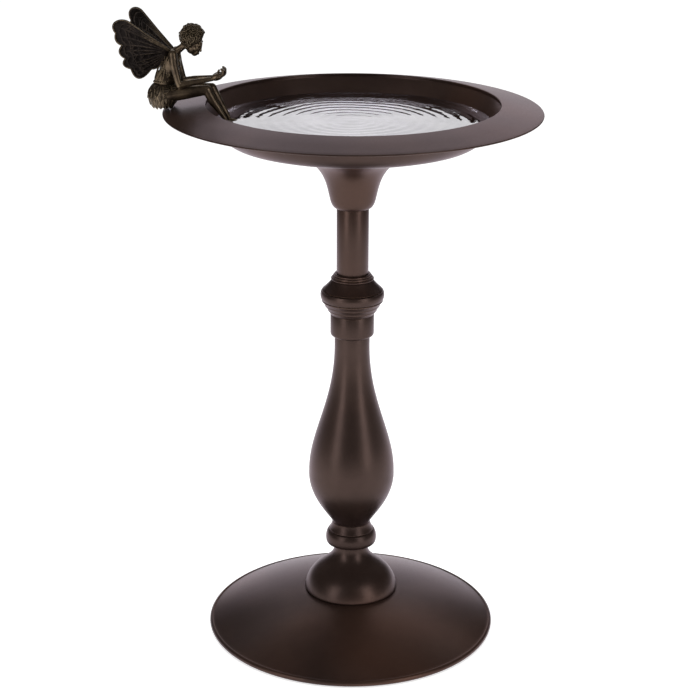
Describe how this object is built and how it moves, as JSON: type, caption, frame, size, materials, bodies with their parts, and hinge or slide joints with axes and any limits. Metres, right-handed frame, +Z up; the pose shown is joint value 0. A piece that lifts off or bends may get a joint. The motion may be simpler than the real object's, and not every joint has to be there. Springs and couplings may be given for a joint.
{
  "type": "bird bath",
  "caption": "Pedestal bird bath: a wide round bowl with a sloping rim on a turned stem and domed foot, with a winged figure seated on the rim.",
  "frame": {"origin": "centre of the rubber pad's underside, on the stem's axis, at floor level", "axes": "+Z up along the stem; -X towards the figure on the rim; +Y away from a viewer who has the figure on the left"},
  "size_m": [0.563, 0.508, 0.8827],
  "materials": {
    "bronze_finish": "oil-rubbed dark bronze, satin",
    "antique_bronze": "antique bronze over a casting, dark in the recesses and rubbed bright on the edges",
    "cast_iron": "rough as cast, blackened",
    "zinc_plate": "zinc plated",
    "black_rubber": "matt black rubber",
    "water": "clear rippled water, shown in the bowl in the visual model only"
  },
  "bodies": {
    "stand": {"base_pad": "black_rubber", "base_plate": "bronze_finish", "base_weight": "cast_iron", "tie_rod": "zinc_plate", "rod_lower_washer": "zinc_plate", "rod_lower_nut": "zinc_plate", "rod_upper_washer": "zinc_plate", "rod_upper_nut": "zinc_plate", "foot_bell": "bronze_finish", "knuckle_lower": "bronze_finish", "knuckle_upper": "bronze_finish", "vase_body": "bronze_finish", "vase_lower_ring": "cast_iron", "vase_upper_ring": "cast_iron", "neck_sleeve": "bronze_finish", "collar_lower": "bronze_finish", "collar_ring": "bronze_finish", "collar_upper": "bronze_finish", "collar_cap": "bronze_finish", "column_tube": "bronze_finish", "tube_lower_ring": "cast_iron", "tube_upper_ring": "cast_iron", "bowl_bell": "bronze_finish", "bowl_gasket": "black_rubber"},
    "bowl_top": {"bowl": "bronze_finish", "bowl_boss": "zinc_plate", "fairy_body": "antique_bronze", "fairy_wing_right": "antique_bronze", "fairy_wing_left": "antique_bronze", "fairy_washer_left": "zinc_plate", "fairy_washer_right": "zinc_plate", "fairy_screw_left": "zinc_plate", "fairy_screw_right": "zinc_plate"}
  },
  "joints": [
    {"name": "bowl_lift", "type": "slide", "parent": "stand", "child": "bowl_top", "axis": [0, 0, 1], "range_m": [0, 0.04]}
  ]
}
